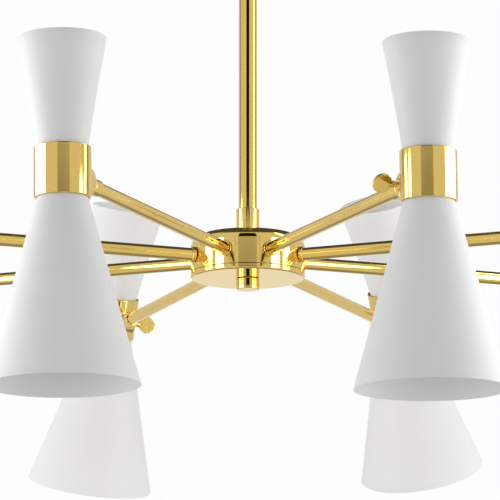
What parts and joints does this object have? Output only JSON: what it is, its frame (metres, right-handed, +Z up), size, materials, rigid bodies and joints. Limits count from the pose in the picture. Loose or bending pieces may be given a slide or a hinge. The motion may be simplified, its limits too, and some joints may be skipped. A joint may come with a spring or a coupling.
{
  "type": "multi arm chandelier",
  "caption": "Mid-century style ceiling chandelier: brass drum hub and stem, radial brass arms, each carrying a tilting double-cone lamp with white shades and a clamp thumb screw.",
  "frame": {"origin": "centre of the ceiling face, on the ceiling bracket's top face", "axes": "+Z up, out of the ceiling face into the ceiling; the fitting hangs to -Z; -Y is the side that faces the viewer, between lamps 1 and 8"},
  "size_m": [1.1218, 1.0716, 0.9108],
  "materials": {
    "satin_white": "satin white stoved enamel",
    "polished_brass": "mirror-polished and lacquered",
    "zinc_steel": "zinc plated",
    "holder_plastic": "moulded, fine matt",
    "terminal_plastic": "moulded, translucent"
  },
  "bodies": {
    "fixture": {"ceiling_bracket": "zinc_steel", "stem_cross_pin": "zinc_steel", "canopy": "polished_brass", "canopy_collar": "polished_brass", "stem_rod": "polished_brass", "stem_sleeve": "polished_brass", "hub_shell": "polished_brass", "hub_cover": "polished_brass", "hub_spider": "zinc_steel", "hub_tie_tube": "zinc_steel", "terminal_block": "terminal_plastic", "finial": "polished_brass", "arm_1": "polished_brass", "arm_2": "polished_brass", "arm_3": "polished_brass", "arm_4": "polished_brass", "arm_5": "polished_brass", "arm_6": "polished_brass", "arm_7": "polished_brass", "arm_8": "polished_brass"},
    "lamp_1": {"waist_band_1": "polished_brass", "upper_shade_1": "satin_white", "lower_shade_1": "satin_white", "lamp_insert_1": "holder_plastic"},
    "clamp_screw_1": {"thumb_screw_1": "polished_brass"},
    "lamp_2": {"waist_band_2": "polished_brass", "upper_shade_2": "satin_white", "lower_shade_2": "satin_white", "lamp_insert_2": "holder_plastic"},
    "clamp_screw_2": {"thumb_screw_2": "polished_brass"},
    "lamp_3": {"waist_band_3": "polished_brass", "upper_shade_3": "satin_white", "lower_shade_3": "satin_white", "lamp_insert_3": "holder_plastic"},
    "clamp_screw_3": {"thumb_screw_3": "polished_brass"},
    "lamp_4": {"waist_band_4": "polished_brass", "upper_shade_4": "satin_white", "lower_shade_4": "satin_white", "lamp_insert_4": "holder_plastic"},
    "clamp_screw_4": {"thumb_screw_4": "polished_brass"},
    "lamp_5": {"waist_band_5": "polished_brass", "upper_shade_5": "satin_white", "lower_shade_5": "satin_white", "lamp_insert_5": "holder_plastic"},
    "clamp_screw_5": {"thumb_screw_5": "polished_brass"},
    "lamp_6": {"waist_band_6": "polished_brass", "upper_shade_6": "satin_white", "lower_shade_6": "satin_white", "lamp_insert_6": "holder_plastic"},
    "clamp_screw_6": {"thumb_screw_6": "polished_brass"},
    "lamp_7": {"waist_band_7": "polished_brass", "upper_shade_7": "satin_white", "lower_shade_7": "satin_white", "lamp_insert_7": "holder_plastic"},
    "clamp_screw_7": {"thumb_screw_7": "polished_brass"},
    "lamp_8": {"waist_band_8": "polished_brass", "upper_shade_8": "satin_white", "lower_shade_8": "satin_white", "lamp_insert_8": "holder_plastic"},
    "clamp_screw_8": {"thumb_screw_8": "polished_brass"}
  },
  "joints": [
    {"name": "lamp_tilt_1", "type": "hinge", "parent": "fixture", "child": "lamp_1", "pos_m": [0.16164, -0.37896, -0.70237], "axis": [-0.9198, -0.3923, -0.0052], "range_deg": [-60.33, 59.67]},
    {"name": "clamp_screw_turn_1", "type": "hinge", "parent": "fixture", "child": "clamp_screw_1", "pos_m": [0.16164, -0.37896, -0.70237], "axis": [-0.9198, -0.3923, -0.0052], "range_deg": [0, 270]},
    {"name": "lamp_tilt_2", "type": "hinge", "parent": "fixture", "child": "lamp_2", "pos_m": [0.38064, -0.15767, -0.7], "axis": [-0.3827, -0.9239, 0], "range_deg": [-60, 60]},
    {"name": "clamp_screw_turn_2", "type": "hinge", "parent": "fixture", "child": "clamp_screw_2", "pos_m": [0.38064, -0.15767, -0.7], "axis": [-0.3827, -0.9239, 0], "range_deg": [0, 270]},
    {"name": "lamp_tilt_3", "type": "hinge", "parent": "fixture", "child": "lamp_3", "pos_m": [0.38064, 0.15767, -0.7], "axis": [0.3827, -0.9239, 0], "range_deg": [-82, 38]},
    {"name": "clamp_screw_turn_3", "type": "hinge", "parent": "fixture", "child": "clamp_screw_3", "pos_m": [0.38064, 0.15767, -0.7], "axis": [0.3827, -0.9239, 0], "range_deg": [0, 270]},
    {"name": "lamp_tilt_4", "type": "hinge", "parent": "fixture", "child": "lamp_4", "pos_m": [0.157, 0.38091, -0.70101], "axis": [0.9245, -0.3811, -0.0052], "range_deg": [-87.64, 32.36]},
    {"name": "clamp_screw_turn_4", "type": "hinge", "parent": "fixture", "child": "clamp_screw_4", "pos_m": [0.157, 0.38091, -0.70101], "axis": [0.9245, -0.3811, -0.0052], "range_deg": [0, 270]},
    {"name": "lamp_tilt_5", "type": "hinge", "parent": "fixture", "child": "lamp_5", "pos_m": [-0.15233, 0.3828, -0.70244], "axis": [0.9289, 0.3695, -0.0262], "range_deg": [-79.84, 40.16]},
    {"name": "clamp_screw_turn_5", "type": "hinge", "parent": "fixture", "child": "clamp_screw_5", "pos_m": [-0.15233, 0.3828, -0.70244], "axis": [0.9289, 0.3695, -0.0262], "range_deg": [0, 270]},
    {"name": "lamp_tilt_6", "type": "hinge", "parent": "fixture", "child": "lamp_6", "pos_m": [-0.38064, 0.15767, -0.7], "axis": [0.3827, 0.9239, 0], "range_deg": [-82, 38]},
    {"name": "clamp_screw_turn_6", "type": "hinge", "parent": "fixture", "child": "clamp_screw_6", "pos_m": [-0.38064, 0.15767, -0.7], "axis": [0.3827, 0.9239, 0], "range_deg": [0, 270]},
    {"name": "lamp_tilt_7", "type": "hinge", "parent": "fixture", "child": "lamp_7", "pos_m": [-0.38064, -0.15767, -0.7], "axis": [-0.3827, 0.9239, 0], "range_deg": [-60, 60]},
    {"name": "clamp_screw_turn_7", "type": "hinge", "parent": "fixture", "child": "clamp_screw_7", "pos_m": [-0.38064, -0.15767, -0.7], "axis": [-0.3827, 0.9239, 0], "range_deg": [0, 270]},
    {"name": "lamp_tilt_8", "type": "hinge", "parent": "fixture", "child": "lamp_8", "pos_m": [-0.15766, -0.38064, -0.69849], "axis": [-0.9238, 0.3826, -0.014], "range_deg": [-59.79, 60.21]},
    {"name": "clamp_screw_turn_8", "type": "hinge", "parent": "fixture", "child": "clamp_screw_8", "pos_m": [-0.15766, -0.38064, -0.69849], "axis": [-0.9238, 0.3826, -0.014], "range_deg": [0, 270]}
  ]
}
